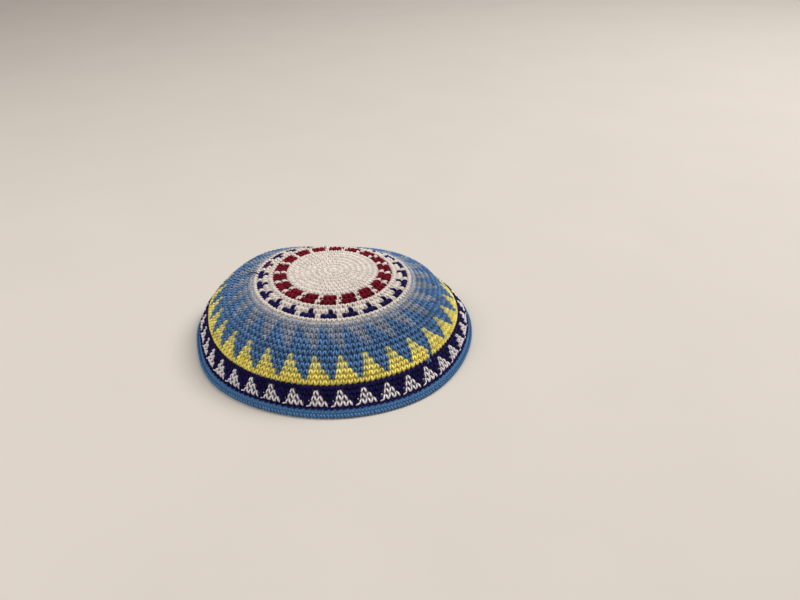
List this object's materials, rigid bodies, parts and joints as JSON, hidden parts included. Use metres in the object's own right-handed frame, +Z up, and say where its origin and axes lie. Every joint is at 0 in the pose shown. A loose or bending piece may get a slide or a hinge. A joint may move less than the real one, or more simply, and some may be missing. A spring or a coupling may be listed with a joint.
{
  "type": "kippah skullcap",
  "caption": "Low domed crocheted skullcap with a flat crown, rings of small triangles in coloured yarns and a rolled edging, open underneath.",
  "frame": {"origin": "on the table under the middle of the cap's outline, at the flat foot of the edging", "axes": "+Z up through the crown, -Y towards the front as pictured, +X to its right"},
  "size_m": [0.1676, 0.1618, 0.0433],
  "materials": {
    "cream_yarn": "matt cotton yarn, crocheted",
    "blue_yarn": "matt cotton yarn, crocheted",
    "dark_red_yarn": "matt cotton yarn, crocheted",
    "navy_yarn": "matt cotton yarn, crocheted",
    "grey_yarn": "matt cotton yarn, crocheted",
    "yellow_yarn": "matt cotton yarn, crocheted"
  },
  "bodies": {
    "root": {"crown": "cream_yarn", "edging": "blue_yarn"}
  },
  "joints": []
}
